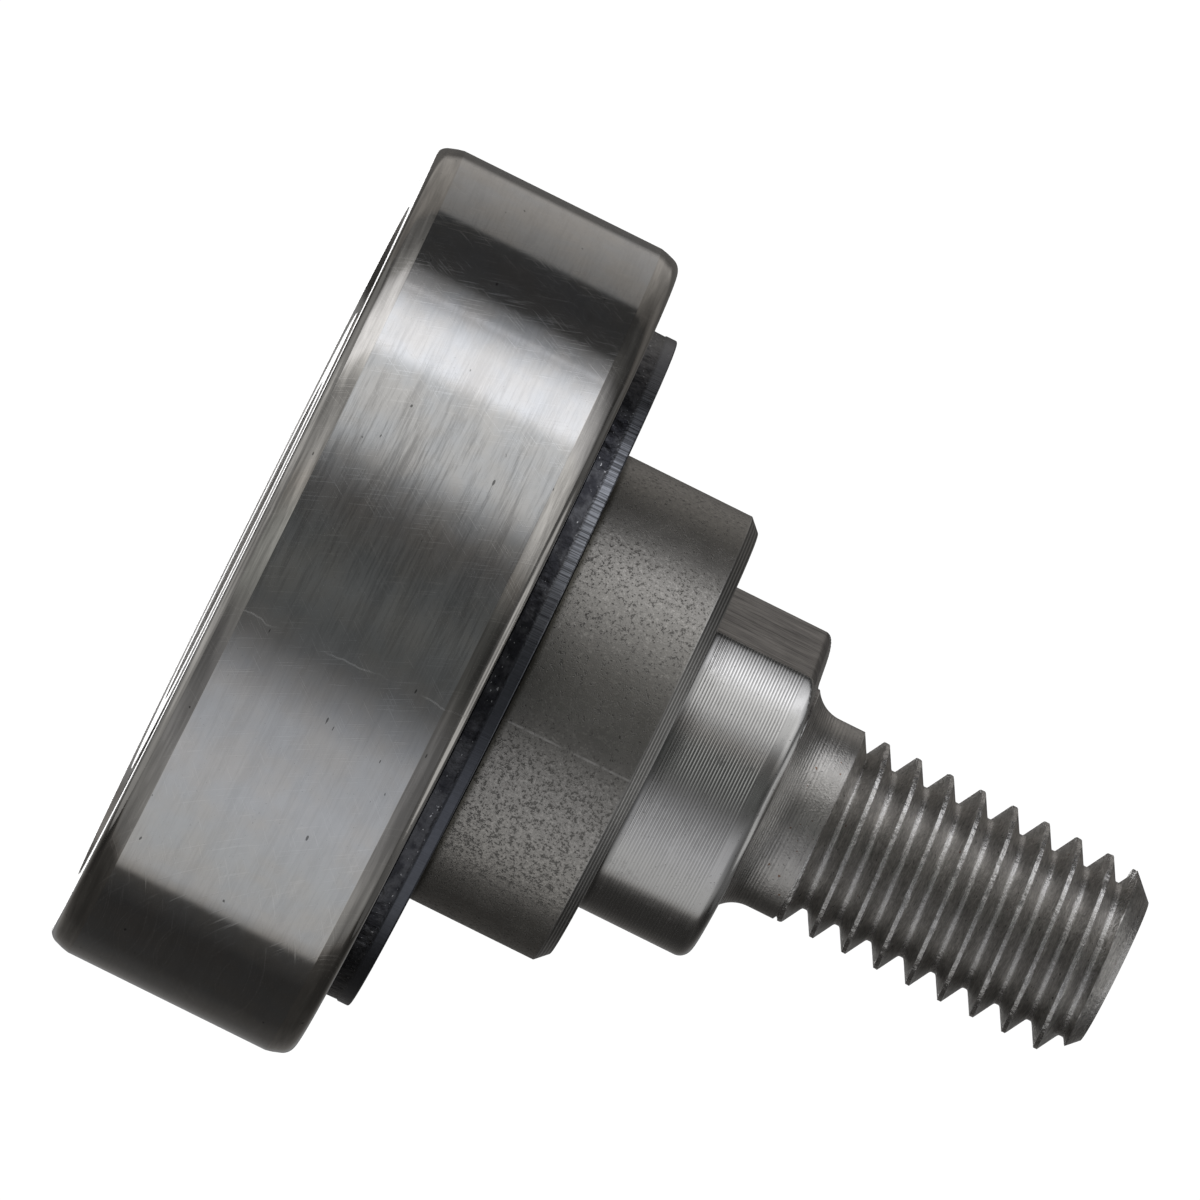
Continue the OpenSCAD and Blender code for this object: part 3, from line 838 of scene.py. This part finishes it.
def rubber_finish():
    f = Finish("black_seal_rubber", metallic=0.0)
    skin = f.noise((0.06, 0.06, 0.06), 2.0, 0.6, 3.0)
    dust = f.rise(f.noise((0.5, 0.5, 0.5), 4.0, 0.7, 9.0), 0.5, 0.8)
    black = f.shade((0.016, 0.016, 0.017), f.spread(skin, 0.6, 1.4))
    colour = f.mix(f.times(dust, 0.35), black, (0.07, 0.065, 0.06))
    f.bsdf.inputs["Specular IOR Level"].default_value = 0.45
    return f.finish(colour, f.math("ADD", f.spread(skin, 0.38, 0.55), f.times(dust, 0.2)), skin, 0.01)


def pressed_finish(name, colour, low, high):
    """Pressed or formed sheet steel of the cage and the seal cores."""
    f = Finish(name)
    roll = f.noise((0.15, 0.6, 0.6), 3.0, 0.6, 3.0)
    spot = f.rise(f.noise((0.12, 0.12, 0.12), 1.0, 0.5, 12.0), 0.68, 0.76)
    tone = f.math("MULTIPLY", f.spread(roll, 0.8, 1.15), f.spread(spot, 1.0, 0.7))
    return f.finish(f.shade(colour, tone), f.spread(roll, low, high), roll, 0.003)


def ball_finish():
    f = Finish("lapped_ball_steel")
    haze = f.noise((0.6, 0.6, 0.6), 3.0, 0.6, 3.0)
    nick = f.rise(f.noise((0.09, 0.09, 0.09), 1.0, 0.5, 6.0), 0.76, 0.80)
    tone = f.math("MULTIPLY", f.spread(haze, 0.92, 1.05), f.spread(nick, 1.0, 0.75))
    return f.finish(f.shade((0.70, 0.69, 0.68), tone), f.spread(haze, 0.04, 0.11))


# ---------------------------------------------------------------------------------------
# Pieces on their bodies
# ---------------------------------------------------------------------------------------


def place(piece, body, node, slot, *materials):
    for material in materials:
        piece.data.materials.append(material)
    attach(piece, body)
    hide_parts(node)


def faces_of(piece):
    """Centre (mm) and normal of every face."""
    count = len(piece.data.polygons)
    centre, normal = np.empty(count * 3, np.float32), np.empty(count * 3, np.float32)
    piece.data.polygons.foreach_get("center", centre)
    piece.data.polygons.foreach_get("normal", normal)
    return centre.reshape(-1, 3) / MM, normal.reshape(-1, 3)


def ring_regions(piece):
    """Material index of each face: the tread with its rims, then the side faces and the bore."""
    centre, normal = faces_of(piece)
    side = (abs(normal[:, 0]) > 0.97) | (np.hypot(centre[:, 1], centre[:, 2]) < seal_seat_r + bead_h + 0.1)
    piece.data.polygons.foreach_set("material_index", side.astype(np.int32))


def stud_regions(piece, body_count):
    """Material index of each face: front, collar, spigot, flat, neck, thread."""
    centre, normal = faces_of(piece)
    x, r = centre[:, 0], np.hypot(centre[:, 1], centre[:, 2])
    flat_edge = math.acos(flat_height / spigot_r)
    y, z = centre[:, 1], centre[:, 2]
    flat = (normal[:, 2] > 0.4) & (abs(y) < z * math.tan(flat_edge)) & (z < flat_height + 0.01)
    kind = np.zeros(len(centre), np.int32)
    kind[(x > washer_rear) | ((x > stud_front + rivet_cone) & (r > journal_r - 0.1))] = 1
    kind[(x > -0.001) & (r < spigot_r + seat_fillet)] = 2
    kind[(x > 0) & (x < spigot_end - 0.01) & flat] = 3
    kind[x > spigot_end - 0.001] = 4
    kind[body_count:] = 5
    piece.data.polygons.foreach_set("material_index", kind)


stud_piece, stud_body_faces = stud()
place(stud_piece, "stud_body", "stud", "stud_steel", front_finish(), collar_finish(), spigot_finish(),
      flat_finish(), neck_finish(), thread_finish())
stud_regions(stud_piece, stud_body_faces)
ring_piece = outer_ring()
place(ring_piece, "roller", "outer_ring", "tread_steel",
      tread_finish(), ring_face_finish("ground_side_steel"))
ring_regions(ring_piece)
place(inner_ring(), "stud_body", "inner_ring", "ring_steel", ring_face_finish("ground_inner_steel"))
place(washer(), "stud_body", "flange_washer", "washer_steel", washer_finish())
rubber = rubber_finish()
place(seal("front_seal_rubber", ring_front, 1), "roller", "front_seal_lip", "seal_rubber", rubber)
place(seal("rear_seal_rubber", ring_rear, -1), "roller", "rear_seal_lip", "seal_rubber", rubber)

core = pressed_finish("pressed_core_steel", (0.52, 0.50, 0.47), 0.25, 0.45)
cage = pressed_finish("pressed_cage_steel", (0.60, 0.56, 0.50), 0.22, 0.40)
balls = ball_finish()
for node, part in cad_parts.items():
    if node.startswith(("front_seal_core", "rear_seal_core", "cage_", "ball_")):
        part.data.materials.clear()
        part.data.materials.append(balls if node.startswith("ball_") else cage if "cage" in node else core)

# ---------------------------------------------------------------------------------------
# Stage, light and camera
# ---------------------------------------------------------------------------------------

wall_r = 300.0
wall_x = 300.0
wall_side = 95.0
wall_middle = 45.0
# Share of its brightness that the wall keeps at its two ends
far_share = 0.6
# White card beyond the roller, ahead of its front face: stations, half angle (degrees), radiance
card_front, card_rear = -55.0, -21.0
card_half = 5
card_glow = 2.2
# The floor is far below the part, so that it is white and takes no shadow that shows
floor_half, floor_z = 6000.0, -300.0
# The camera: turned towards the roller's front, rolled, and its distance and aim
camera_yaw, camera_roll = 1.6, 26.35
camera_distance = 615.4
aim_x, aim_over = -3.133, 2.931

# Brightness of the studio round the stud: degrees below the camera's side, then the radiance of
# the wall's front, middle and rear, then its tint
neutral, warm, cool, teal = (1, 1, 1), (1, 0.96, 0.92), (0.985, 0.99, 1.02), (0.98, 1.0, 0.98)
studio = [
    (-180, 0.10, 0.10, 0.10, warm), (-158, 0.12, 0.10, 0.10, warm), (-153, 0.36, 0.36, 0.16, warm),
    (-136, 0.28, 0.32, 0.18, warm), (-120, 0.26, 0.23, 0.10, warm), (-116, 0.20, 0.21, 0.07, warm),
    (-114, 0.16, 0.04, 0.06, neutral), (-102, 0.18, 0.035, 0.06, neutral), (-92, 0.35, 0.045, 0.09, neutral),
    (-89, 0.70, 0.20, 0.15, cool), (-84, 1.00, 0.37, 0.28, cool), (-83, 1.00, 0.74, 0.32, cool),
    (-81.5, 1.00, 0.50, 0.36, cool), (-79, 1.20, 0.78, 0.45, cool), (-73, 1.60, 1.16, 0.60, cool),
    (-63, 1.60, 1.28, 0.80, cool), (-59, 1.10, 0.78, 0.90, neutral), (-50, 0.42, 0.70, 0.90, neutral),
    (-39, 0.45, 0.64, 0.85, neutral), (-30, 0.50, 0.24, 0.50, neutral), (-22, 0.52, 0.11, 0.22, warm),
    (-10, 0.52, 0.095, 0.09, teal), (0, 0.50, 0.12, 0.08, teal), (10, 0.36, 0.10, 0.10, teal),
    (18, 0.24, 0.12, 0.15, neutral), (27, 0.20, 0.26, 0.22, cool), (36, 0.20, 0.44, 0.25, cool),
    (56, 0.32, 0.54, 0.28, cool), (78, 0.30, 0.51, 0.34, neutral), (93, 0.22, 0.47, 0.20, neutral),
    (97.5, 0.16, 0.32, 0.12, warm), (99.5, 0.07, 0.06, 0.06, warm), (112, 0.04, 0.03, 0.04, warm),
    (136, 0.04, 0.035, 0.04, warm), (152, 0.08, 0.07, 0.07, warm), (162, 0.15, 0.13, 0.12, warm),
    (170, 0.24, 0.22, 0.20, neutral), (180, 0.10, 0.10, 0.10, neutral),
]
# Brightness of the studio's two ends: distance from the stud's axis over the wall's, then the
# radiance of the front end and of the rear end
ends = [
    (0.0, 0.32, 0.32), (0.12, 0.32, 0.32), (0.2, 0.55, 0.55), (0.42, 0.55, 0.55),
    (0.52, 0.34, 0.14), (1.0, 0.26, 0.11),
]


def glow(name, points, faces, colours):
    """A panel that only shows in reflections, lit by a colour at each point."""
    mesh = bpy.data.meshes.new(name)
    mesh.from_pydata((np.asarray(points) * MM).tolist(), [], faces)
    light = mesh.color_attributes.new("light", "FLOAT_COLOR", "POINT")
    opaque = np.append(colours, np.ones((len(colours), 1)), 1)
    light.data.foreach_set("color", opaque.astype(np.float32).ravel())
    panel = bpy.data.objects.new(name, mesh)
    bpy.context.scene.collection.objects.link(panel)
    material = bpy.data.materials.new(name)
    material.use_nodes = True
    nodes, links = material.node_tree.nodes, material.node_tree.links
    nodes.clear()
    colour = nodes.new("ShaderNodeAttribute")
    colour.attribute_name = "light"
    emission, out = nodes.new("ShaderNodeEmission"), nodes.new("ShaderNodeOutputMaterial")
    links.new(colour.outputs["Color"], emission.inputs["Color"])
    links.new(emission.outputs[0], out.inputs["Surface"])
    material.cycles.emission_sampling = "NONE"
    mesh.materials.append(material)
    panel.visible_camera = False
    panel.visible_diffuse = False
    panel.visible_shadow = False


def studio_walls():
    degrees = np.arange(-180, 180, 0.5)
    stops = np.array([stop[:4] for stop in studio])
    tints = np.array([stop[4] for stop in studio])
    tint = np.stack([np.interp(degrees, stops[:, 0], tints[:, k]) for k in range(3)], 1)
    front, middle, rear = (np.interp(degrees, stops[:, 0], stops[:, k])[:, None] * tint for k in (1, 2, 3))
    angles = np.radians(camera_side + degrees)
    count = len(angles)
    stations = (-wall_x, -wall_side, -wall_middle, wall_middle, wall_side, wall_x)
    rows = [turned_points(np.full(count, x), wall_r, angles) for x in stations]
    colours = np.concatenate([front * far_share, front, middle, middle, rear, rear * far_share])
    glow("studio_wall", np.concatenate(rows), grid_faces(len(rows), count), colours)
    share = np.array(ends)
    for k, name, x in ((1, "studio_front", -wall_x), (2, "studio_back", wall_x)):
        rows = [turned_points(np.full(count, x), max(s, 0.001) * wall_r, angles) for s in share[:, 0]]
        colours = np.repeat(share[:, k:k + 1], count, 0) * np.ones((1, 3))
        glow(name, np.concatenate(rows), grid_faces(len(share), count), colours)


def front_card():
    """White card beyond the roller, low in front of its face, which shows there at a glancing angle."""
    count = 15
    angles = np.radians(camera_side + 180 + np.linspace(-card_half, card_half, count))
    rows = [turned_points(np.full(count, x), wall_r - 10, angles) for x in (card_front, card_rear)]
    faces = [(j, j + 1, count + j + 1, count + j) for j in range(count - 1)]
    glow("front_card", np.concatenate(rows), faces, np.full((2 * count, 3), card_glow))


def floor():
    half, z = floor_half, floor_z
    mesh = bpy.data.meshes.new("floor")
    corners = [(-half, -half, z), (half, -half, z), (half, half, z), (-half, half, z)]
    mesh.from_pydata((np.array(corners) * MM).tolist(), [], [(0, 1, 2, 3)])
    plate = bpy.data.objects.new("floor", mesh)
    bpy.context.scene.collection.objects.link(plate)
    material = bpy.data.materials.new("pale_floor")
    material.use_nodes = True
    inputs = material.node_tree.nodes["Principled BSDF"].inputs
    inputs["Base Color"].default_value = (0.93, 0.93, 0.93, 1)
    inputs["Roughness"].default_value = 0.9
    inputs["Specular IOR Level"].default_value = 0.0
    mesh.materials.append(material)


def white_sky():
    world = bpy.data.worlds.new("studio_sky")
    bpy.context.scene.world = world
    world.use_nodes = True
    sky = world.node_tree.nodes["Background"].inputs
    sky["Color"].default_value = (1, 1, 1, 1)
    sky["Strength"].default_value = 1.12
    world.cycles.sampling_method = "NONE"


def camera():
    yaw, tilt, roll = (math.radians(d) for d in (camera_yaw, 180 - camera_side, camera_roll))
    back = math.cos(yaw) * Vector((0, -math.cos(tilt), math.sin(tilt))) - math.sin(yaw) * Vector((1, 0, 0))
    axis = (Vector((1, 0, 0)) - back.x * back).normalized()
    over = back.cross(axis)
    aim = Vector((aim_x, 0, 0)) + aim_over * over
    right = math.cos(roll) * axis + math.sin(roll) * over
    up = math.cos(roll) * over - math.sin(roll) * axis
    data = bpy.data.cameras.new("camera")
    data.lens, data.sensor_width = 660, 36
    data.clip_start, data.clip_end = 10 * MM, 20000 * MM
    eye = bpy.data.objects.new("camera", data)
    bpy.context.scene.collection.objects.link(eye)
    turn = Matrix((right, up, back)).transposed().to_4x4()
    eye.matrix_world = Matrix.Translation((aim + back * camera_distance) * MM) @ turn
    bpy.context.scene.camera = eye


studio_walls()
front_card()
floor()
white_sky()
camera()
bpy.context.scene.view_settings.view_transform = "Standard"
bpy.context.view_layer.update()
